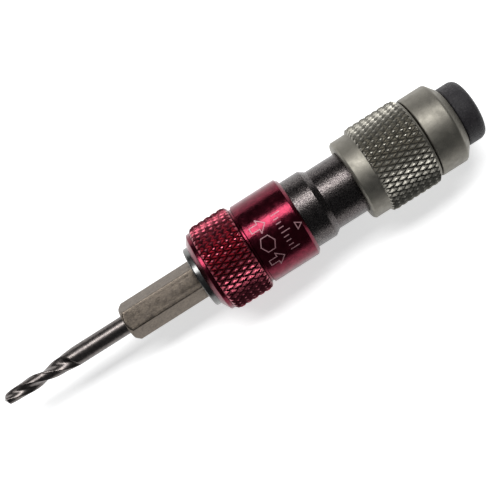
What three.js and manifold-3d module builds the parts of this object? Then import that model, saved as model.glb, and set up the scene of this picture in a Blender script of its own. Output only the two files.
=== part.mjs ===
// Pin vise drill: a quick-release hex holder on a knurled hand grip with a free-turning palm cap.
// Millimetres. +X runs from the drill's tip to the palm cap, +Z is up, and the tool lies on its two knurls.
// Every length "at" is measured from the drill's tip along the tool.
import * as THREE from "three";
import { mergeVertices } from "three/addons/utils/BufferGeometryUtils.js";
import Module from "manifold-3d";

const wasm = await Module();
wasm.setup();

// Driving dimensions.
const TOTAL_LENGTH = 96.4;
const HEX_FLATS = 6.35;
const KNURL_R = 8.3;
const BAND_R = 7.65;
const AROUND = 32;
const FINE_AROUND = 24;
const REST_HEIGHT = KNURL_R * Math.cos(Math.PI / AROUND);
const RUNNING_GAP = 0.05;
const KNURL_EDGE = 0.3;
const WIRE_SIDES = 6;
const PAST = 1; // how far a cutting body passes beyond the piece it cuts

const drill = {
  tipR: 1.1, rootR: 1.5, shankR: 1.75, web: 0.36, pitch: 18.5,
  pointAngle: 59, landPower: 1.6, runOut: 1.5, fluteEnd: 17.2, shoulder: 0.6, end: 45, steps: 22, around: 20,
};
const hex = {
  start: 25.65, end: 54.5, cornerR: 3.866, chamfer: 0.7, endR: 3.075, boreEnd: 45.4,
  grooveAt: 46, grooveHalf: 1.5, grooveR: 2.85, grooveSlope: 0.7,
};
const tube = { start: 41, outerR: 4.8, boreFlats: 6.5, boreEnd: 55.2 };
const magnet = { start: 55.5, end: 57.9, r: 2.8, endGap: 0.1 };
const ball = { at: 46, r: 1, clear: 0.08, holeR: 1.1, around: 12, rows: 8, holeAround: 16 };
const noseRing = { start: 40.66, end: 44.4, r: 5.76, edge: 0.35 };
const snapRing = { at: 42.6, wireR: 0.28, clear: 0.1, gapAngle: 30, steps: 24 };
const collar = {
  start: 41.7, bandStart: 42.6, knurlStart: 43.9, knurlEnd: 51, grooveEnd: 51.5,
  coneStart: 43.93, coneEnd: 47.1, landEnd: 49.2, chamferStart: 60.56, end: 61.17,
  frontR: 6.1, rearR: 7, mouthR: 5.95, landR: 5, chamberR: 6.8,
};
const seat = { start: 49.3, end: 50.1, innerR: 4.95, outerR: 6.6 };
const spring = { start: 50.25, end: 56.9, wireR: 0.42, coilR: 5.75, turns: 4.5, stepsPerTurn: 16 };
const barrel = { start: 57, frontR: 6.58, stepStart: 64.9, stepEnd: 66, rearR: 5.8, end: 75.5 };
const stud = { r: 3, chamfer: 0.5, end: 83 };
const grip = {
  start: 72.04, edge: 0.3, knurlStart: 75.4, knurlEnd: 84.9, end: 85.75,
  frontBoreR: 5.85, webStart: 75.6, webEnd: 78.6, pocketR: 6.25, spigotStart: 83, spigotR: 6.75,
};
const lockWasher = { start: 78.65, end: 79.35, r: 5.2 };
const nut = { start: 79.4, end: 82.4, flats: 9 };
const housing = {
  start: 83.2, faceStart: 85.95, seatStart: 86.45, chamferStart: 90.75, end: 92.35,
  mouthR: 4.6, spigotR: 6.7, rearR: 5.85,
};
const bearing = {
  start: 86.5, end: 90.5, boreR: 2.5, innerR: 3.35, outerR: 4.65, r: 5.5, trackHalf: 0.65, trackDepth: 0.36,
  balls: 7, ballR: 0.85, pitchR: 4, ballAround: 10, ballRows: 6,
};
const cage = { half: 1.3, innerR: 3.75, outerR: 4.25, pocketR: 0.95, pocketLength: 2, pocketAround: 12 };
const circlip = { start: 90.6, end: 91.2, innerR: 4.75, outerR: 5.85, gapAngle: 40 };
const pin = {
  start: 84.9, chamfer: 0.2, shaftR: 2.45, clipR: 2, clipStart: 85.7, clipEnd: 86.35,
  flangeR: 3.4, flangeEnd: 92.1, neckR: 3, end: 95.2,
};
const pinClip = { outerR: 3.6, gapAngle: 90 };
const dustWasher = { start: 91.4, end: 92.1, innerR: 3.5, outerR: 5.4 };
const cap = {
  start: 92.45, r: 5.68, domeStart: 94.75, domeMiddle: 95.75, domeR: 5.3,
  faceEdge: 96.3, faceEdgeR: 4.3, faceR: 3.4,
};

const materials = {
  drill: { color: 0x2b2b2e, roughness: 0.3, metalness: 1 },
  steel: { color: 0x8b857a, roughness: 0.4, metalness: 1 },
  black: { color: 0x1d1b1d, roughness: 0.4, metalness: 0.8 },
  red: { color: 0xa82f4a, roughness: 0.35, metalness: 0.9 },
  silver: { color: 0xb4b2a6, roughness: 0.45, metalness: 0.9 },
  chrome: { color: 0xc8c8c8, roughness: 0.15, metalness: 1 },
  magnet: { color: 0x9a9a9c, roughness: 0.3, metalness: 1 },
  brass: { color: 0xb09050, roughness: 0.4, metalness: 1 },
  nylon: { color: 0xd8d4c4, roughness: 0.6, metalness: 0 },
  plastic: { color: 0x161516, roughness: 0.75, metalness: 0 },
};

const object = new THREE.Group();

function radians(degrees) {
  return THREE.MathUtils.degToRad(degrees);
}

// A surface as a solid that can be cut and joined.
function solid(geometry) {
  const bare = geometry.index ? geometry.toNonIndexed() : geometry.clone();
  bare.deleteAttribute("normal");
  bare.deleteAttribute("uv");
  const merged = mergeVertices(bare, 1e-4);
  const mesh = new wasm.Mesh({
    numProp: 3,
    vertProperties: new Float32Array(merged.attributes.position.array),
    triVerts: new Uint32Array(merged.index.array),
  });
  return new wasm.Manifold(mesh);
}

function geometryOf(shape) {
  const mesh = shape.getMesh();
  const geometry = new THREE.BufferGeometry();
  geometry.setAttribute("position", new THREE.BufferAttribute(new Float32Array(mesh.vertProperties), 3));
  geometry.setIndex(new THREE.BufferAttribute(new Uint32Array(mesh.triVerts), 1));
  const flat = geometry.toNonIndexed();
  flat.computeVertexNormals();
  return flat;
}

function place(name, shape, material) {
  const mesh = new THREE.Mesh(geometryOf(shape), new THREE.MeshStandardMaterial(materials[material]));
  mesh.name = name;
  mesh.position.set(-TOTAL_LENGTH / 2, 0, REST_HEIGHT);
  object.add(mesh);
}

// A body turned about the tool's axis; the profile is a list of [at, radius], from front to back.
// The first and last points lie on the axis, or the profile closes on itself round a ring's section.
function turned(profile, around = AROUND) {
  const points = profile.map(([at, radius]) => new THREE.Vector2(radius, at));
  const geometry = new THREE.LatheGeometry(points, around, Math.PI / around);
  geometry.rotateZ(-Math.PI / 2);
  const body = solid(geometry);
  return body.volume() < 0 ? solid(flipped(geometry)) : body;
}

function flipped(geometry) {
  const index = Array.from(geometry.index.array);
  for (let i = 0; i < index.length; i += 3) {
    [index[i + 1], index[i + 2]] = [index[i + 2], index[i + 1]];
  }
  geometry.setIndex(index);
  return geometry;
}

function rod(start, end, radius, around = AROUND) {
  return turned([[start, 0], [start, radius], [end, radius], [end, 0]], around);
}

function ring(start, end, innerR, outerR, around = AROUND) {
  return turned([[start, innerR], [start, outerR], [end, outerR], [end, innerR], [start, innerR]], around);
}

// A prism along the tool's axis with one flat facing up.
function hexPrism(start, end, flats) {
  const corner = flats / Math.sqrt(3);
  const geometry = new THREE.CylinderGeometry(corner, corner, end - start, 6);
  geometry.rotateZ(-Math.PI / 2);
  geometry.rotateX(Math.PI / 6);
  geometry.translate((start + end) / 2, 0, 0);
  return solid(geometry);
}

// A C-shaped flat clip with its gap facing up.
function splitRing(start, end, innerR, outerR, gapAngle) {
  const from = radians(90 + gapAngle / 2);
  const to = radians(450 - gapAngle / 2);
  const shape = new THREE.Shape();
  shape.absarc(0, 0, outerR, from, to, false);
  shape.absarc(0, 0, innerR, to, from, true);
  const options = { depth: end - start, bevelEnabled: false, curveSegments: FINE_AROUND };
  const geometry = new THREE.ExtrudeGeometry(shape, options);
  geometry.rotateX(Math.PI / 2);
  geometry.rotateZ(Math.PI / 2);
  geometry.translate(start, 0, 0);
  return solid(geometry);
}

// A closed outline from its radius at each angle.
function outline(count, radiusAt) {
  const shape = new THREE.Shape();
  for (let i = 0; i < count; i++) {
    const angle = (i / count) * Math.PI * 2;
    const radius = radiusAt(angle);
    const x = radius * Math.cos(angle);
    const y = radius * Math.sin(angle);
    if (i) shape.lineTo(x, y);
    else shape.moveTo(x, y);
  }
  return shape;
}

// A round wire along a curve.
function wire(curve, radius, steps) {
  const section = outline(WIRE_SIDES, () => radius);
  return solid(new THREE.ExtrudeGeometry(section, { steps, extrudePath: curve, bevelEnabled: false }));
}

class RingCurve extends THREE.Curve {
  constructor(at, radius, gapAngle) {
    super();
    this.at = at;
    this.radius = radius;
    this.gapAngle = gapAngle;
  }
  getPoint(t, target = new THREE.Vector3()) {
    const angle = radians(90 + this.gapAngle / 2 + t * (360 - this.gapAngle));
    return target.set(this.at, this.radius * Math.cos(angle), this.radius * Math.sin(angle));
  }
}

class HelixCurve extends THREE.Curve {
  getPoint(t, target = new THREE.Vector3()) {
    const angle = t * spring.turns * Math.PI * 2;
    const from = spring.start + spring.wireR;
    const to = spring.end - spring.wireR;
    return target.set(from + t * (to - from), spring.coilR * Math.cos(angle), spring.coilR * Math.sin(angle));
  }
}

// The fluted part: a two-lobed section, twisted and tapered along its length.
function flutedBody() {
  const section = outline(drill.around, (angle) => {
    return 1 - (1 - drill.web) * Math.abs(Math.sin(angle)) ** drill.landPower;
  });
  const geometry = new THREE.ExtrudeGeometry(section, {
    depth: drill.fluteEnd, steps: drill.steps, bevelEnabled: false,
  });
  const position = geometry.getAttribute("position");
  for (let i = 0; i < position.count; i++) {
    const along = position.getZ(i);
    const turn = (along / drill.pitch) * Math.PI * 2;
    const radius = drill.tipR + ((drill.rootR - drill.tipR) * along) / drill.fluteEnd;
    const x = position.getX(i);
    const y = position.getY(i);
    const across = radius * (x * Math.cos(turn) - y * Math.sin(turn));
    const up = radius * (x * Math.sin(turn) + y * Math.cos(turn));
    position.setXYZ(i, along, across, up);
  }
  return solid(geometry);
}

function makeDrill() {
  const pointLength = drill.tipR / Math.tan(radians(drill.pointAngle));
  const shank = turned([
    [drill.fluteEnd - drill.runOut, 0], [drill.fluteEnd, drill.rootR],
    [drill.fluteEnd + drill.shoulder, drill.shankR],
    [drill.end, drill.shankR], [drill.end, 0],
  ], drill.around);
  const envelope = turned([
    [0, 0], [pointLength, drill.tipR], [drill.fluteEnd, drill.shankR + PAST], [drill.fluteEnd, 0],
  ], drill.around);
  place("twist_drill", flutedBody().intersect(envelope).add(shank), "drill");
}

function makeHexShank() {
  const grooveFront = hex.grooveAt - hex.grooveHalf;
  const grooveRear = hex.grooveAt + hex.grooveHalf;
  const envelope = turned([
    [hex.start, 0], [hex.start, hex.endR], [hex.start + hex.chamfer, hex.cornerR],
    [grooveFront, hex.cornerR], [grooveFront + hex.grooveSlope, hex.grooveR],
    [grooveRear - hex.grooveSlope, hex.grooveR], [grooveRear, hex.cornerR],
    [hex.end - hex.chamfer, hex.cornerR], [hex.end, hex.endR], [hex.end, 0],
  ], FINE_AROUND);
  const bore = rod(hex.start - PAST, hex.boreEnd, drill.shankR + RUNNING_GAP, FINE_AROUND);
  place("hex_shank", hexPrism(hex.start, hex.end, HEX_FLATS).intersect(envelope).subtract(bore), "steel");
}

// A round hole through the tube's wall, above the axis (side 1) or below it (side -1).
function ballHole(side) {
  const from = tube.boreFlats / 2 - PAST;
  const to = tube.outerR + PAST;
  const geometry = new THREE.CylinderGeometry(ball.holeR, ball.holeR, to - from, ball.holeAround);
  geometry.rotateX(Math.PI / 2);
  geometry.translate(ball.at, 0, (side * (from + to)) / 2);
  return solid(geometry);
}

function snapGroove() {
  const half = snapRing.wireR + snapRing.clear;
  return ring(snapRing.at - half, snapRing.at + half, tube.outerR - half, tube.outerR + half);
}

function makeSpindle() {
  const body = turned([
    [tube.start, 0], [tube.start, tube.outerR], [barrel.start, tube.outerR], [barrel.start, barrel.frontR],
    [barrel.stepStart, barrel.frontR], [barrel.stepEnd, barrel.rearR], [barrel.end, barrel.rearR],
    [barrel.end, stud.r], [stud.end - stud.chamfer, stud.r], [stud.end, stud.r - stud.chamfer], [stud.end, 0],
  ]);
  const socket = hexPrism(tube.start - PAST, tube.boreEnd, tube.boreFlats);
  const magnetSeat = rod(tube.boreEnd - PAST, magnet.end + magnet.endGap, magnet.r + RUNNING_GAP, FINE_AROUND);
  const hollow = socket.add(magnetSeat).add(snapGroove());
  place("spindle", body.subtract(hollow.add(ballHole(1)).add(ballHole(-1))), "black");
}

function makeSocketParts() {
  place("socket_magnet", rod(magnet.start, magnet.end, magnet.r, FINE_AROUND), "magnet");
  const nose = turned([
    [noseRing.start, tube.outerR + RUNNING_GAP], [noseRing.start, noseRing.r - noseRing.edge],
    [noseRing.start + noseRing.edge, noseRing.r], [noseRing.end, noseRing.r],
    [noseRing.end, tube.outerR + RUNNING_GAP], [noseRing.start, tube.outerR + RUNNING_GAP],
  ]);
  place("nose_ring", nose.subtract(snapGroove()), "steel");
  const snap = wire(new RingCurve(snapRing.at, tube.outerR, snapRing.gapAngle), snapRing.wireR, snapRing.steps);
  place("nose_snap_ring", snap, "chrome");
  const reach = HEX_FLATS / 2 + ball.clear + ball.r;
  for (const [name, side] of [["lock_ball_1", 1], ["lock_ball_2", -1]]) {
    const geometry = new THREE.SphereGeometry(ball.r, ball.around, ball.rows);
    geometry.translate(ball.at, 0, side * reach);
    place(name, solid(geometry), "chrome");
  }
}

function makeCollar() {
  const body = turned([
    [collar.start, collar.mouthR], [collar.start, collar.frontR], [collar.bandStart, BAND_R],
    [collar.knurlStart - KNURL_EDGE, BAND_R], [collar.knurlStart, KNURL_R], [collar.knurlEnd, KNURL_R],
    [collar.grooveEnd, BAND_R], [collar.chamferStart, BAND_R], [collar.end, collar.rearR],
    [collar.end, collar.chamberR], [collar.landEnd, collar.chamberR], [collar.landEnd, collar.landR],
    [collar.coneEnd, collar.landR], [collar.coneStart, collar.mouthR], [collar.start, collar.mouthR],
  ]);
  place("release_collar", body, "red");
  place("spring_seat", ring(seat.start, seat.end, seat.innerR, seat.outerR, FINE_AROUND), "brass");
  const coil = wire(new HelixCurve(), spring.wireR, spring.turns * spring.stepsPerTurn);
  place("collar_spring", coil, "chrome");
}

function makeGrip() {
  const body = turned([
    [grip.start, grip.frontBoreR], [grip.start, BAND_R - grip.edge], [grip.start + grip.edge, BAND_R],
    [grip.knurlStart - KNURL_EDGE, BAND_R], [grip.knurlStart, KNURL_R], [grip.knurlEnd, KNURL_R],
    [grip.end, BAND_R], [grip.end, grip.spigotR], [grip.spigotStart, grip.spigotR],
    [grip.spigotStart, grip.pocketR], [grip.webEnd, grip.pocketR], [grip.webEnd, stud.r + RUNNING_GAP],
    [grip.webStart, stud.r + RUNNING_GAP], [grip.webStart, grip.frontBoreR], [grip.start, grip.frontBoreR],
  ]);
  place("grip_sleeve", body, "silver");
  const washerHole = stud.r + RUNNING_GAP;
  place("lock_washer", ring(lockWasher.start, lockWasher.end, washerHole, lockWasher.r, FINE_AROUND), "steel");
  const nutBody = hexPrism(nut.start, nut.end, nut.flats);
  const nutHole = rod(nut.start - PAST, nut.end + PAST, washerHole);
  place("spindle_nut", nutBody.subtract(nutHole), "steel");
}

function makeHousing() {
  const grooveR = circlip.outerR + RUNNING_GAP;
  const seatR = bearing.r + RUNNING_GAP;
  const body = turned([
    [housing.start, housing.mouthR], [housing.start, housing.spigotR], [housing.faceStart, housing.spigotR],
    [housing.faceStart, BAND_R], [housing.chamferStart, BAND_R], [housing.end, housing.rearR],
    [housing.end, seatR], [circlip.end + RUNNING_GAP, seatR], [circlip.end + RUNNING_GAP, grooveR],
    [circlip.start - RUNNING_GAP, grooveR], [circlip.start - RUNNING_GAP, seatR], [housing.seatStart, seatR],
    [housing.seatStart, housing.mouthR], [housing.start, housing.mouthR],
  ]);
  place("bearing_housing", body, "silver");
  const clip = splitRing(circlip.start, circlip.end, circlip.innerR, circlip.outerR, circlip.gapAngle);
  place("bearing_circlip", clip, "chrome");
}

function makeBearing() {
  const middle = (bearing.start + bearing.end) / 2;
  const trackFront = middle - bearing.trackHalf;
  const trackRear = middle + bearing.trackHalf;
  const outer = turned([
    [bearing.start, bearing.outerR], [bearing.start, bearing.r], [bearing.end, bearing.r],
    [bearing.end, bearing.outerR], [trackRear, bearing.outerR], [middle, bearing.outerR + bearing.trackDepth],
    [trackFront, bearing.outerR], [bearing.start, bearing.outerR],
  ]);
  const inner = turned([
    [bearing.start, bearing.boreR], [bearing.start, bearing.innerR], [trackFront, bearing.innerR],
    [middle, bearing.innerR - bearing.trackDepth], [trackRear, bearing.innerR],
    [bearing.end, bearing.innerR], [bearing.end, bearing.boreR], [bearing.start, bearing.boreR],
  ], FINE_AROUND);
  place("bearing_outer_race", outer, "chrome");
  place("bearing_inner_race", inner, "chrome");
  let cageBody = ring(middle - cage.half, middle + cage.half, cage.innerR, cage.outerR, FINE_AROUND);
  for (let i = 0; i < bearing.balls; i++) {
    const angle = (i / bearing.balls) * Math.PI * 2;
    const pocket = new THREE.CylinderGeometry(cage.pocketR, cage.pocketR, cage.pocketLength, cage.pocketAround);
    pocket.rotateX(Math.PI / 2);
    pocket.translate(middle, 0, bearing.pitchR);
    pocket.rotateX(angle);
    cageBody = cageBody.subtract(solid(pocket));
    const sphere = new THREE.SphereGeometry(bearing.ballR, bearing.ballAround, bearing.ballRows);
    sphere.translate(middle, 0, bearing.pitchR);
    sphere.rotateX(angle);
    place("bearing_ball_" + (i + 1), solid(sphere), "chrome");
  }
  place("bearing_cage", cageBody, "brass");
}

function makeCap() {
  const pinBody = turned([
    [pin.start, 0], [pin.start, pin.shaftR - pin.chamfer], [pin.start + pin.chamfer, pin.shaftR],
    [pin.clipStart, pin.shaftR],
    [pin.clipStart, pin.clipR], [pin.clipEnd + RUNNING_GAP, pin.clipR], [pin.clipEnd + RUNNING_GAP, pin.shaftR],
    [bearing.end + RUNNING_GAP, pin.shaftR], [bearing.end + RUNNING_GAP, pin.flangeR],
    [pin.flangeEnd, pin.flangeR], [pin.flangeEnd, pin.neckR], [pin.end, pin.neckR], [pin.end, 0],
  ], FINE_AROUND);
  place("swivel_pin", pinBody, "steel");
  const clipHoleR = pin.clipR + RUNNING_GAP;
  const clip = splitRing(pin.clipStart + RUNNING_GAP, pin.clipEnd, clipHoleR, pinClip.outerR, pinClip.gapAngle);
  place("pin_clip", clip, "chrome");
  const washer = ring(dustWasher.start, dustWasher.end, dustWasher.innerR, dustWasher.outerR, FINE_AROUND);
  place("dust_washer", washer, "nylon");
  const body = turned([
    [cap.start, 0], [cap.start, cap.r], [cap.domeStart, cap.r], [cap.domeMiddle, cap.domeR],
    [cap.faceEdge, cap.faceEdgeR], [TOTAL_LENGTH, cap.faceR], [TOTAL_LENGTH, 0],
  ]);
  const socket = rod(cap.start - PAST, pin.end + RUNNING_GAP, pin.neckR + RUNNING_GAP, FINE_AROUND);
  place("palm_cap", body.subtract(socket), "plastic");
}

makeDrill();
makeHexShank();
makeSpindle();
makeSocketParts();
makeCollar();
makeGrip();
makeHousing();
makeBearing();
makeCap();

export default object;
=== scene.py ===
import math

import bmesh
import bpy
from mathutils import Matrix, Vector

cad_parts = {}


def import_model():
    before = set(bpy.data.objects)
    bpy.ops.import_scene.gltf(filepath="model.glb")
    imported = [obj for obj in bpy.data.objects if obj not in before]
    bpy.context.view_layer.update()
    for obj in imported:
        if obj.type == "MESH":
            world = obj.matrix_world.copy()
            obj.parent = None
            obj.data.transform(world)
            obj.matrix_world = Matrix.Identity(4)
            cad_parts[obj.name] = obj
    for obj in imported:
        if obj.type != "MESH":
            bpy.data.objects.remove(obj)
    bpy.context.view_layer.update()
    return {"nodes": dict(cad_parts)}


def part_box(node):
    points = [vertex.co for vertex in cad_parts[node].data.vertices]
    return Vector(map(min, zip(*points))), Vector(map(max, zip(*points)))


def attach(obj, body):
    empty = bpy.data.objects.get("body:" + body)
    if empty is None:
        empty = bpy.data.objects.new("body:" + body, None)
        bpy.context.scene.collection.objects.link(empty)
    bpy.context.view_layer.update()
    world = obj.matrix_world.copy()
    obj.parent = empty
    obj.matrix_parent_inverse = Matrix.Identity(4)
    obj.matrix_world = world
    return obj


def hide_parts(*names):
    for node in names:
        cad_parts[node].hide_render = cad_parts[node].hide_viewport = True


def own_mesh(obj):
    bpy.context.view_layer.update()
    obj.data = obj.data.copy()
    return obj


# Pin vise drill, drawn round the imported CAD. Metres, +X from the drill's tip to the palm cap, +Z up.
# Shapes are given in millimetres, and lengths count back from the front of the CAD node they replace.
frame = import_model()

MM = 0.001
AXIS_Z = (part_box("hex_shank")[0].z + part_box("hex_shank")[1].z) / 2
KNURL_ROWS = 46
STEPS_PER_DIAMOND = 12
AROUND = KNURL_ROWS * STEPS_PER_DIAMOND
PLAIN_AROUND = 144
ROUNDING_STEPS = 4
SHARP_ANGLE = math.radians(32)
UP = math.pi / 2

HEX_FLATS = 6.35
HEX_EDGE_R = 0.22
SOCKET_FLATS = 6.5
TUBE_R = 4.8
BAND_R = 7.65
KNURL_TOP_R = 8.3

DRILL = {
    "tip_r": 1.12, "body_r": 1.5, "shank_r": 1.75, "body_end": 12.0, "shank_start": 15.2, "pitch": 18.5,
    "half_point_angle": 59, "lead": -8.4, "start_angle": 0.6, "run_out": 12.3, "run_out_skew": 2.4,
    "run_out_length": 1.1, "margin_end": 0.22, "land_end": 1.3, "land_share": 0.965, "flute_depth": 0.4,
    "end_chamfer": 0.3, "around": 96, "steps": 170,
}
SHANK = {
    "bore_r": 1.8, "bore_end": 19.9, "back_r": 0.4, "groove_at": 20.35, "groove_half": 1.5, "groove_flat": 0.8,
    "groove_r": 2.85, "end_r": 3.02, "end_slope": 0.85, "end_length": 1.0,
}
SPINDLE = {
    "mouth_r": 3.9, "tube_end": 16.0, "barrel_r": 6.58, "step_start": 23.9, "step_end": 25.0, "neck_r": 5.8,
    "barrel_end": 34.5, "stud_r": 3.0, "stud_end": 42.0, "socket_start": 0.4, "socket_end": 14.2,
    "magnet_r": 2.85, "magnet_end": 17.0,
}
SPRING = {
    "wire_r": 0.42, "coil_r": 5.75, "turns": 4.5, "steps_per_turn": 48, "sides": 14, "travel": 3.0,
    "barrel_behind_nose": 12.6,
}


# ---------------------------------------------------------------- materials

def tree_of(name):
    material = bpy.data.materials.new(name)
    material.use_nodes = True
    tree = material.node_tree
    return material, tree.nodes, tree.links, tree.nodes["Principled BSDF"]


def ramp(nodes, links, source, low, high, start=0.3, end=0.7):
    node = nodes.new("ShaderNodeMapRange")
    node.inputs["From Min"].default_value = start
    node.inputs["From Max"].default_value = end
    node.inputs["To Min"].default_value = low
    node.inputs["To Max"].default_value = high
    links.new(source, node.inputs["Value"])
    return node.outputs["Result"]


def noise(nodes, links, scale, stretch=(1, 1, 1), detail=4, rough=0.6):
    coordinates = nodes.new("ShaderNodeTexCoord")
    mapping = nodes.new("ShaderNodeMapping")
    mapping.inputs["Scale"].default_value = [scale * s for s in stretch]
    texture = nodes.new("ShaderNodeTexNoise")
    texture.inputs["Scale"].default_value = 1
    texture.inputs["Detail"].default_value = detail
    texture.inputs["Roughness"].default_value = rough
    links.new(coordinates.outputs["Object"], mapping.inputs["Vector"])
    links.new(mapping.outputs["Vector"], texture.inputs["Vector"])
    return texture.outputs["Fac"]


def mix_colour(nodes, links, factor, first, second):
    node = nodes.new("ShaderNodeMix")
    node.data_type = "RGBA"
    links.new(factor, node.inputs["Factor"])
    for socket, value in ((node.inputs[6], first), (node.inputs[7], second)):
        if isinstance(value, tuple):
            socket.default_value = (*value, 1)
        else:
            links.new(value, socket)
    return node.outputs[2]


def bump(nodes, links, layers):
    normal = None
    for height, strength, distance in layers:
        node = nodes.new("ShaderNodeBump")
        node.inputs["Strength"].default_value = strength
        node.inputs["Distance"].default_value = distance
        links.new(height, node.inputs["Height"])
        if normal is not None:
            links.new(normal, node.inputs["Normal"])
        normal = node.outputs["Normal"]
    return normal


def metal(name, light, dark, rough, metallic=1.0, groove=None, blotch=350, turning=0.12, grain=0.2,
          grain_scale=7000, rough_spread=0.08, rough_scale=900, speckles=0.35):
    """A worked metal: blotchy colour, turning lines, fine grain, and painted shade in a knurl's grooves."""
    material, nodes, links, shader = tree_of(name)
    blotches = ramp(nodes, links, noise(nodes, links, blotch, detail=6), 0, 1, 0.35, 0.65)
    fine = noise(nodes, links, grain_scale, detail=3)
    lines = noise(nodes, links, 9000, stretch=(1, 0.03, 0.03), detail=3)
    glint = tuple(min(1, c * 1.5 + 0.02) for c in light)
    colour = mix_colour(nodes, links, blotches, dark, light)
    colour = mix_colour(nodes, links, ramp(nodes, links, fine, 0, speckles, 0.45, 0.75), colour, glint)
    # Painted shade: below the knurl's tops the colour turns to the groove colour, darkest at the bottom of the
    # grooves.
    if groove is not None:
        height = nodes.new("ShaderNodeAttribute")
        height.attribute_name = "height"
        painted_groove_shade_mask = ramp(nodes, links, height.outputs["Fac"], 1, 0, 0.0, 0.55)
        colour = mix_colour(nodes, links, painted_groove_shade_mask, colour, groove)
    links.new(colour, shader.inputs["Base Color"])
    shader.inputs["Metallic"].default_value = metallic
    wear = noise(nodes, links, rough_scale, detail=5)
    roughness = ramp(nodes, links, wear, rough - rough_spread, rough + rough_spread)
    links.new(roughness, shader.inputs["Roughness"])
    normal = bump(nodes, links, [(fine, grain, 0.00003), (lines, turning, 0.00003)])
    links.new(normal, shader.inputs["Normal"])
    return material


def plastic(name, light, dark, rough):
    """A dull moulded plastic with a fine grain."""
    material, nodes, links, shader = tree_of(name)
    patches = noise(nodes, links, 600, detail=6)
    grain = noise(nodes, links, 2600, detail=5, rough=0.75)
    dust = tuple(c * 3 for c in light)
    colour = mix_colour(nodes, links, ramp(nodes, links, patches, 0, 1), dark, light)
    colour = mix_colour(nodes, links, ramp(nodes, links, grain, 0, 0.8, 0.52, 0.7), colour, dust)
    links.new(colour, shader.inputs["Base Color"])
    links.new(ramp(nodes, links, grain, rough - 0.12, rough + 0.12), shader.inputs["Roughness"])
    links.new(bump(nodes, links, [(grain, 0.9, 0.00016), (patches, 0.2, 0.0002)]), shader.inputs["Normal"])
    shader.inputs["Specular IOR Level"].default_value = 0.3
    return material


RED = metal("red_anodised", (0.145, 0.015, 0.031), (0.075, 0.008, 0.017), 0.2,
            grain=0.6, grain_scale=4200, turning=0.15, blotch=1100)
# The groove colour is painted shade in the red knurl's grooves.
RED_KNURL = metal("red_knurl", (0.36, 0.07, 0.1), (0.23, 0.04, 0.06), 0.28, groove=(0.07, 0.018, 0.025),
                  grain=0.25, blotch=900)
SILVER = metal("silver_satin", (0.22, 0.208, 0.178), (0.18, 0.17, 0.147), 0.52, grain=0.3, turning=0.2)
# The groove colour is painted shade in the silver knurl's grooves.
SILVER_KNURL = metal("silver_knurl", (0.33, 0.315, 0.275), (0.24, 0.23, 0.2), 0.46,
                     groove=(0.13, 0.124, 0.112))
BLACK_STEEL = metal("black_steel", (0.1, 0.088, 0.084), (0.02, 0.0165, 0.019), 0.27, grain=1.0,
                    grain_scale=5200, turning=0.1, rough_spread=0.1, rough_scale=5000, blotch=5200,
                    speckles=1.0)
HEX_STEEL = metal("hex_steel", (0.15, 0.125, 0.1), (0.095, 0.08, 0.068), 0.36, blotch=2400, grain=0.5,
                  grain_scale=4200, turning=0.05)
NOSE_STEEL = metal("nose_steel", (0.16, 0.16, 0.155), (0.1, 0.1, 0.1), 0.25)
DRILL_STEEL = metal("drill_steel", (0.15, 0.134, 0.125), (0.085, 0.075, 0.074), 0.32, blotch=1500,
                    rough_spread=0.05)
BRIGHT = metal("bright_steel", (0.75, 0.75, 0.74), (0.6, 0.6, 0.6), 0.16, turning=0.1)
BRASS = metal("brass", (0.75, 0.55, 0.25), (0.6, 0.42, 0.18), 0.3)
MAGNET = metal("magnet_plate", (0.6, 0.6, 0.6), (0.45, 0.45, 0.45), 0.25)
ETCH = metal("etched_mark", (0.36, 0.2, 0.22), (0.26, 0.12, 0.14), 0.5, metallic=0.4)
CAP = plastic("cap_black", (0.02, 0.018, 0.02), (0.008, 0.007, 0.009), 0.5)
NYLON = plastic("nylon", (0.38, 0.37, 0.34), (0.32, 0.31, 0.28), 0.5)


# ---------------------------------------------------------------- shapes

def point(at, radius, angle):
    """A place on the tool: at in metres, radius in millimetres, angle from +Y towards +Z."""
    return (at, radius * MM * math.cos(angle), AXIS_Z + radius * MM * math.sin(angle))


def full_circle(count):
    return [2 * math.pi * k / count for k in range(count)]


def rounded(profile, radius):
    """The open profile [(at, radius), ...] with each corner turned into a small curve."""
    out = [profile[0]]
    for before, corner, after in zip(profile, profile[1:], profile[2:]):
        b, c, a = Vector(before), Vector(corner), Vector(after)
        reach = min(radius, (b - c).length * 0.45, (a - c).length * 0.45)
        start, end = c + (b - c).normalized() * reach, c + (a - c).normalized() * reach
        for i in range(ROUNDING_STEPS + 1):
            t = i / ROUNDING_STEPS
            out.append(tuple(start * (1 - t) ** 2 + c * 2 * t * (1 - t) + end * t ** 2))
    out.append(profile[-1])
    return out


def outward(mesh):
    """Turns every face of a closed mesh to the outside."""
    work = bmesh.new()
    work.from_mesh(mesh)
    bmesh.ops.recalc_face_normals(work, faces=work.faces)
    if work.calc_volume(signed=True) < 0:
        bmesh.ops.reverse_faces(work, faces=work.faces)
    work.to_mesh(mesh)
    work.free()


def finished(name, mesh, body, node=None):
    """The mesh as a piece that rides on a body and may take a CAD node's place."""
    piece = bpy.data.objects.new(name, mesh)
    bpy.context.collection.objects.link(piece)
    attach(piece, body)
    if node:
        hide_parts(node)
    return piece


def strip_between(a, b, count, split=None):
    """Faces from the ring that starts at vertex a to the one at b. split(k) picks how a square is halved."""
    faces = []
    for k in range(count):
        n = (k + 1) % count
        corners = (a + k, a + n, b + n, b + k)
        if split is None:
            faces.append(corners)
        elif split(k):
            faces += [(corners[0], corners[1], corners[2]), (corners[0], corners[2], corners[3])]
        else:
            faces += [(corners[0], corners[1], corners[3]), (corners[1], corners[2], corners[3])]
    return faces


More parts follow.
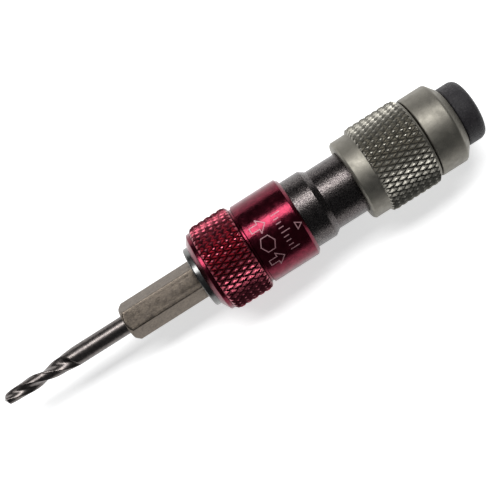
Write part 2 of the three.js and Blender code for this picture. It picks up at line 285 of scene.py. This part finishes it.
def loft(name, rings, angles, materials, body, node, closed=True, heights=None, picker=None,
         splitter=None):
    """Joins rings round the tool's axis. A ring is (at, radius), and the radius may depend on the angle.

    A closed loft comes back to its first ring; an open one ends in a point on the axis at both ends."""
    count = len(angles)
    vertices = []
    for at, radius in rings:
        for k, angle in enumerate(angles):
            vertices.append(point(at, radius(angle, k) if callable(radius) else radius, angle))
    faces, indices = [], []
    pairs = list(zip(range(len(rings)), range(1, len(rings))))
    if closed:
        pairs.append((len(rings) - 1, 0))
    for a, b in pairs:
        made = strip_between(a * count, b * count, count, splitter(a) if splitter else None)
        faces += made
        indices += [picker(a) if picker else 0] * len(made)
    if not closed:
        for ring in (0, len(rings) - 1):
            centre = len(vertices)
            vertices.append((rings[ring][0], 0, AXIS_Z))
            for k in range(count):
                faces.append((centre, ring * count + k, ring * count + (k + 1) % count))
                indices.append(0)
    mesh = bpy.data.meshes.new(name)
    mesh.from_pydata(vertices, [], faces)
    for material in materials:
        mesh.materials.append(material)
    mesh.polygons.foreach_set("material_index", indices)
    if heights is not None:
        mesh.attributes.new("height", "FLOAT", "POINT").data.foreach_set("value", heights)
    mesh.shade_smooth()
    outward(mesh)
    mesh.set_sharp_from_angle(angle=SHARP_ANGLE)
    return finished(name, mesh, body, node)


def turned(name, node, profile, material, body, corner):
    """A turned piece from its closed profile [(at, radius), ...]."""
    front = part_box(node)[0].x
    rings = [(front + at * MM, radius) for at, radius in rounded(profile + [profile[0]], corner)[:-1]]
    return loft(name, rings, full_circle(PLAIN_AROUND), [material], body, node)


def diamond(j, k):
    """Height from 0 to 1 of a flat-topped pyramid, with grooves along two crossing helices."""
    u, v = (j + k) / STEPS_PER_DIAMOND, (j - k) / STEPS_PER_DIAMOND
    sides = [abs(((w + 0.5) % 1) - 0.5) * 2 for w in (u, v)]
    return min(1.0, min(sides) * 1.3)


def knurled(name, node, front_profile, knurl, rear_profile, materials, body, corner=0.12):
    """A turned sleeve with a band of raised diamonds. The two profiles meet inside the sleeve."""
    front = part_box(node)[0].x
    start, end, root, chamfer = knurl["start"], knurl["end"], knurl["root_r"], knurl["chamfer"]
    steps = knurl["diamonds"] * STEPS_PER_DIAMOND
    fall = KNURL_TOP_R - root + 0.12
    rings = [(front + at * MM, radius) for at, radius in rounded(front_profile, corner)]
    first = len(rings)
    # The heights also go to the material, which paints shade into the grooves by them.
    heights = [1.0] * (first * AROUND)
    for j in range(steps + 1):
        at = start + (end - start) * j / steps
        limit = KNURL_TOP_R - max(0, (start + chamfer - at) / chamfer, (at - end + chamfer) / chamfer) * fall

        def radius(angle, k, j=j, limit=limit):
            return min(limit, root + (KNURL_TOP_R - root) * diamond(j, k))

        rings.append((front + at * MM, radius))
        heights += [diamond(j, k) for k in range(AROUND)]
    last = len(rings) - 1
    rings += [(front + at * MM, radius) for at, radius in rounded(rear_profile, corner)]
    heights += [1.0] * (len(rings) * AROUND - len(heights))

    def splitter(a):
        if not first <= a < last:
            return None
        half = STEPS_PER_DIAMOND / 2
        upper = (a - first) % STEPS_PER_DIAMOND < half
        return lambda k: upper == (k % STEPS_PER_DIAMOND < half)

    return loft(name, rings, full_circle(AROUND), materials, body, node, heights=heights,
                picker=lambda a: 1 if first <= a < last else 0, splitter=splitter)


def hex_outline(flats, edge_r):
    """Angles and radii of a hexagon with a flat facing up and its corners rounded."""
    half, sixth = flats / 2, math.pi / 6
    flat_steps, edge_steps = 8, 5
    flat_end = (half - edge_r) * math.tan(sixth)
    centre = (half - edge_r) / math.cos(sixth)
    angles, radii = [], []
    for side in range(6):
        middle = UP + side * 2 * sixth
        for i in range(flat_steps + 1):
            y = -flat_end + 2 * flat_end * i / flat_steps
            angles.append(middle + math.atan2(y, half))
            radii.append(math.hypot(y, half))
        for i in range(1, edge_steps):
            turn = -sixth + 2 * sixth * i / edge_steps
            y, x = edge_r * math.sin(turn), centre + edge_r * math.cos(turn)
            angles.append(middle + sixth + math.atan2(y, x))
            radii.append(math.hypot(y, x))
    return angles, radii


def halved(angles, radii):
    """The same outline with a point added between each two."""
    more_angles, more_radii = [], []
    for k, angle in enumerate(angles):
        n = (k + 1) % len(angles)
        after = angles[n] if n else angles[n] + 2 * math.pi
        more_angles += [angle, (angle + after) / 2]
        more_radii += [radii[k], (radii[k] + radii[n]) / 2]
    return more_angles, more_radii


# ---------------------------------------------------------------- drill and shank

def flute_section(phase):
    """Share of the radius at an angle, and the place across the flute from 0 to 1. There are two flutes."""
    a = phase % math.pi
    if a < DRILL["margin_end"]:
        return 1.0, 0
    if a < DRILL["land_end"]:
        return DRILL["land_share"], 0
    t = (a - DRILL["land_end"]) / (math.pi - DRILL["land_end"])
    return DRILL["land_share"] - DRILL["flute_depth"] * math.sin(math.pi * t), t


def drill():
    lo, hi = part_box("twist_drill")
    length = (hi.x - lo.x) / MM
    point_length = DRILL["tip_r"] / math.tan(math.radians(DRILL["half_point_angle"]))
    body_end, shank_start, shank_r = DRILL["body_end"], DRILL["shank_start"], DRILL["shank_r"]
    rings = []
    for j in range(DRILL["steps"] + 1):
        at = shank_start * j / DRILL["steps"]
        if at < body_end:
            outer = DRILL["tip_r"] + (DRILL["body_r"] - DRILL["tip_r"]) * at / body_end
        else:
            grown = (at - body_end) / (shank_start - body_end)
            outer = DRILL["body_r"] + (shank_r - DRILL["body_r"]) * grown
        cone = at / point_length * DRILL["tip_r"] if at < point_length else length

        def radius(angle, k, at=at, cone=cone, outer=outer):
            turn = 2 * math.pi * (at + DRILL["lead"]) / DRILL["pitch"]
            share, across = flute_section(angle - UP - turn + DRILL["start_angle"])
            filled = (at - DRILL["run_out"] - DRILL["run_out_skew"] * across) / DRILL["run_out_length"]
            filled = min(1, max(0, filled))
            filled = filled * filled * (3 - 2 * filled)
            return max(0.03, min(cone, outer * (share + (1 - share) * filled)))

        rings.append((lo.x + at * MM, radius))
    chamfer = DRILL["end_chamfer"]
    rings += [(lo.x + (length - chamfer) * MM, shank_r), (lo.x + length * MM, shank_r - chamfer)]
    loft("drill_bit", rings, full_circle(DRILL["around"]), [DRILL_STEEL], "bit", "twist_drill",
         closed=False)


def shank():
    lo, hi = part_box("hex_shank")
    front, length = lo.x, (hi.x - lo.x) / MM
    angles, radii = hex_outline(HEX_FLATS, HEX_EDGE_R)
    groove_at, half, flat = SHANK["groove_at"], SHANK["groove_half"], SHANK["groove_flat"]
    stations = [0.0, 0.04] + [0.08 + 0.085 * i for i in range(12)]
    stations += [groove_at - half, groove_at - flat, groove_at + flat, groove_at + half]
    stations += [length - SHANK["end_length"] * (1 - i / 10) for i in range(11)]

    def limit(at):
        away = abs(at - groove_at)
        if away <= half:
            return SHANK["groove_r"] + max(0, (away - flat) / (half - flat))
        return SHANK["end_r"] + min(at, length - at) * SHANK["end_slope"]

    rings = [(front, SHANK["bore_r"])]
    for at in stations:
        rings.append((front + at * MM, lambda angle, k, at=at: min(radii[k], limit(at))))
    rings.append((front + length * MM, SHANK["back_r"]))
    rings.append((front + SHANK["bore_end"] * MM, SHANK["back_r"]))
    rings.append((front + SHANK["bore_end"] * MM, SHANK["bore_r"]))
    rings.append((front + 0.15 * MM, SHANK["bore_r"]))
    loft("hex_drive_shank", rings, angles, [HEX_STEEL], "bit", "hex_shank")


# ---------------------------------------------------------------- holder

def spindle():
    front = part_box("spindle")[0].x
    angles, radii = halved(*hex_outline(SOCKET_FLATS, 0.1))
    neck_r, stud_r, magnet_end = SPINDLE["neck_r"], SPINDLE["stud_r"], SPINDLE["magnet_end"]
    outside = [
        (0.0, SPINDLE["mouth_r"]), (0.0, TUBE_R), (SPINDLE["tube_end"], TUBE_R),
        (SPINDLE["tube_end"], SPINDLE["barrel_r"]), (SPINDLE["step_start"], SPINDLE["barrel_r"]),
        (SPINDLE["step_end"], neck_r), (SPINDLE["barrel_end"], neck_r), (SPINDLE["barrel_end"], stud_r),
        (SPINDLE["stud_end"], stud_r), (SPINDLE["stud_end"], 0.5),
    ]
    inside = [
        (SPINDLE["stud_end"] - 0.1, 0.02), (magnet_end, 0.02), (magnet_end, SPINDLE["magnet_r"]),
        (SPINDLE["socket_end"], SPINDLE["magnet_r"]),
    ]
    rings = [(front + at * MM, radius) for at, radius in rounded(outside, 0.1) + inside]
    for at in (SPINDLE["socket_end"], SPINDLE["socket_start"]):
        rings.append((front + at * MM, lambda angle, k: radii[k]))
    loft("spindle_and_barrel", rings, angles, [BLACK_STEEL], "handle", "spindle")


def nose():
    inner, outer, length = 4.85, 5.76, 3.74
    turned("nose_ring_turned", "nose_ring", [(0, inner), (0, outer), (length, outer), (length, inner)],
           NOSE_STEEL, "handle", corner=0.35)


def collar():
    mouth, chamber, rear = 5.95, 6.8, 19.47
    front_profile = [(3.0, mouth), (0.0, mouth), (0.0, 6.1), (0.9, BAND_R), (1.5, BAND_R), (1.55, 7.6)]
    knurl = {"start": 1.6, "end": 9.35, "root_r": 7.82, "diamonds": 3, "chamfer": 0.6}
    rear_profile = [
        (9.5, 7.3), (9.85, 7.3), (9.9, BAND_R), (18.86, BAND_R), (rear, 7.0), (rear, chamber), (7.5, chamber),
        (7.5, 5.0), (5.4, 5.0), (2.23, mouth),
    ]
    knurled("collar_sleeve", "release_collar", front_profile, knurl, rear_profile, [RED, RED_KNURL], "collar")


def mark_lines(at):
    """The collar's generic marks, as lines of (at, millimetres round from the top)."""
    corners = [math.pi / 3 * i for i in range(7)]
    lines = [[(at + 1.35 * math.cos(a), 1.9 + 1.5 * math.sin(a)) for a in corners]]
    arrow = [(-1.4, -0.5), (0.1, -0.5), (0.1, -1.25), (1.4, 0), (0.1, 1.25), (0.1, 0.5), (-1.4, 0.5),
             (-1.4, -0.5)]
    for centre in (5.2, -1.4):
        lines.append([(at + x, centre + y) for x, y in arrow])
    for i in range(9):
        reach = 1.5 if i % 4 == 0 else 0.8
        around = 5.0 - i * 0.85
        lines.append([(at + 2.9, around), (at + 2.9 + reach, around)])
    tip = at + 5.6
    lines.append([(tip, 1.2), (tip + 1.0, 1.85), (tip, 2.5), (tip, 1.2)])
    return lines


def marks():
    """Thin raised strips on the collar's band: a hexagon, two arrows, graduation ticks and a triangle."""
    width, step, sunk, lift = 0.17, 0.25, 0.01, 0.014
    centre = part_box("release_collar")[0].x / MM + 12.3
    vertices, faces = [], []
    for line in mark_lines(centre):
        for start, end in zip(line, line[1:]):
            p, q = Vector(start), Vector(end)
            along = (q - p).normalized()
            p, q = p - along * width / 2, q + along * width / 2
            side = Vector((-along.y, along.x)) * width / 2
            steps = max(1, int((q - p).length / step))
            base = len(vertices)
            for i in range(steps + 1):
                middle = p.lerp(q, i / steps)
                for rise in (0.0, lift):
                    for sign in (-1, 1):
                        spot = middle + side * sign
                        vertices.append(point(spot.x * MM, BAND_R - sunk + rise, UP + spot.y / BAND_R))
            for i in range(steps):
                a, b = base + 4 * i, base + 4 * (i + 1)
                faces += [(a + 2, a + 3, b + 3, b + 2), (a, b, b + 1, a + 1), (a, a + 2, b + 2, b),
                          (a + 1, b + 1, b + 3, a + 3)]
            a, b = base, base + 4 * steps
            faces += [(a, a + 1, a + 3, a + 2), (b, b + 2, b + 3, b + 1)]
    mesh = bpy.data.meshes.new("collar_marks")
    mesh.from_pydata(vertices, [], faces)
    mesh.materials.append(ETCH)
    outward(mesh)
    finished("collar_marks", mesh, "collar")


def spring():
    """The collar's return spring. It presses towards the barrel as the collar comes back."""
    lo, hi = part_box("collar_spring")
    wire, coil, turns, sides = SPRING["wire_r"], SPRING["coil_r"], SPRING["turns"], SPRING["sides"]
    start, end = lo.x + wire * MM, hi.x - wire * MM
    steps = int(turns * SPRING["steps_per_turn"])
    pitch = (end - start) / MM / turns
    round_once = 2 * math.pi * coil
    vertices, faces = [], []
    for i in range(steps + 1):
        t = i / steps
        angle = 2 * math.pi * turns * t
        outwards = Vector((0, math.cos(angle), math.sin(angle)))
        forwards = Vector((pitch, -round_once * math.sin(angle), round_once * math.cos(angle)))
        sideways = forwards.normalized().cross(outwards)
        middle = Vector((start + (end - start) * t, 0, AXIS_Z)) + outwards * coil * MM
        for turn in full_circle(sides):
            vertices.append(middle + (outwards * math.cos(turn) + sideways * math.sin(turn)) * wire * MM)
    for i in range(steps):
        faces += strip_between(i * sides, (i + 1) * sides, sides)
    faces.append(tuple(range(sides)))
    faces.append(tuple(steps * sides + k for k in reversed(range(sides))))
    mesh = bpy.data.meshes.new("return_spring")
    mesh.from_pydata(vertices, [], faces)
    mesh.materials.append(BRIGHT)
    mesh.shade_smooth()
    outward(mesh)
    mesh.set_sharp_from_angle(angle=math.radians(40))
    piece = finished("return_spring", mesh, "handle", "collar_spring")
    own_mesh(piece)


def grip():
    bore, web_bore, pocket, spigot = 5.85, 3.05, 6.25, 6.75
    front_profile = [(3.4, bore), (0.0, bore), (0.0, 7.3), (0.35, BAND_R), (3.2, BAND_R)]
    knurl = {"start": 3.3, "end": 13.35, "root_r": 7.78, "diamonds": 4, "chamfer": 0.4}
    rear_profile = [
        (13.42, 7.62), (13.7, 7.55), (13.72, spigot), (10.96, spigot), (10.96, pocket), (6.56, pocket),
        (6.56, web_bore), (3.56, web_bore), (3.56, bore),
    ]
    knurled("grip_sleeve_knurled", "grip_sleeve", front_profile, knurl, rear_profile, [SILVER, SILVER_KNURL],
            "handle")


def housing():
    """The rear sleeve, with its spigot in the grip and the bearing's seat and clip groove inside."""
    spigot, mouth, seat, groove, rear = 6.7, 4.6, 5.55, 5.9, 9.15
    profile = [
        (0, mouth), (0, spigot), (2.75, spigot), (2.75, BAND_R), (7.75, BAND_R), (rear, 5.85), (rear, seat),
        (8.05, seat), (8.05, groove), (7.35, groove), (7.35, seat), (3.25, seat), (3.25, mouth),
    ]
    turned("rear_housing", "bearing_housing", profile, SILVER, "handle", corner=0.35)


def cap():
    side, pin_hole, face = 5.68, 3.05, 3.99
    profile = [
        (2.8, 0.02), (2.8, pin_hole), (0, pin_hole), (0, side), (2.75, side), (3.5, 5.3), (3.88, 4.4),
        (face, 3.4), (face, 0.02),
    ]
    turned("palm_rest", "palm_cap", profile, CAP, "cap", corner=0.45)


def inner_nodes():
    """The CAD nodes inside the holder keep their shapes and take the right finish."""
    looks = {
        "socket_magnet": MAGNET, "spring_seat": BRASS, "bearing_cage": BRASS, "dust_washer": NYLON,
        "lock_washer": HEX_STEEL, "spindle_nut": HEX_STEEL, "swivel_pin": NOSE_STEEL,
    }
    for name, node in frame["nodes"].items():
        if node.type == "MESH":
            node.data.materials.clear()
            node.data.materials.append(looks.get(name, BRIGHT))


inner_nodes()
drill()
shank()
spindle()
nose()
collar()
marks()
spring()
grip()
housing()
cap()


# ---------------------------------------------------------------- scene

def floor():
    size = 3.0
    mesh = bpy.data.meshes.new("floor")
    corners = [(-size, -size, 0), (size, -size, 0), (size, size, 0), (-size, size, 0)]
    mesh.from_pydata(corners, [], [(0, 1, 2, 3)])
    plane = bpy.data.objects.new("floor", mesh)
    bpy.context.collection.objects.link(plane)
    material, nodes, links, shader = tree_of("floor_paper")
    fibres = noise(nodes, links, 3, detail=2)
    links.new(mix_colour(nodes, links, fibres, (0.84, 0.84, 0.84), (0.86, 0.86, 0.86)),
              shader.inputs["Base Color"])
    shader.inputs["Roughness"].default_value = 0.9
    shader.inputs["Emission Color"].default_value = (1, 1, 1, 1)
    shader.inputs["Emission Strength"].default_value = 0.62
    mesh.materials.append(material)


def softbox():
    """A long soft light beside the tool, leaning towards +Y, with its long side along the tool."""
    data = bpy.data.lights.new("key", "AREA")
    data.shape = "RECTANGLE"
    data.size, data.size_y = 0.8, 0.26
    data.energy = 6.0
    lamp = bpy.data.objects.new("key", data)
    bpy.context.collection.objects.link(lamp)
    direction = Vector((0, math.tan(math.radians(28)), 1)).normalized()
    lamp.location = Vector((0, 0, AXIS_Z)) + direction * 0.7
    along = Vector((1, 0, 0))
    lamp.rotation_euler = Matrix((along, direction.cross(along), direction)).transposed().to_euler()


def camera():
    """A close camera over the tool, leaning to its rear and its -Y side, with the tool turned in the frame."""
    data = bpy.data.cameras.new("camera")
    data.lens = 70
    data.sensor_width = 36
    eye = bpy.data.objects.new("camera", data)
    bpy.context.collection.objects.link(eye)
    away = Vector((0.026, -0.074, 1)).normalized()
    along = (Vector((1, 0, 0)) - away * away.x).normalized()
    turn = math.radians(32.34)
    right = along * math.cos(turn) - away.cross(along) * math.sin(turn)
    eye.rotation_euler = Matrix((right, away.cross(right), away)).transposed().to_euler()
    eye.location = Vector((0.0025, -0.0006, AXIS_Z)) + away * 0.170
    bpy.context.scene.camera = eye


def world():
    sky = bpy.data.worlds.new("studio")
    sky.use_nodes = True
    sky.node_tree.nodes["Background"].inputs["Color"].default_value = (0.9, 0.95, 1, 1)
    sky.node_tree.nodes["Background"].inputs["Strength"].default_value = 0.08
    bpy.context.scene.world = sky
    bpy.context.scene.view_settings.view_transform = "Standard"


floor()
softbox()
camera()
world()
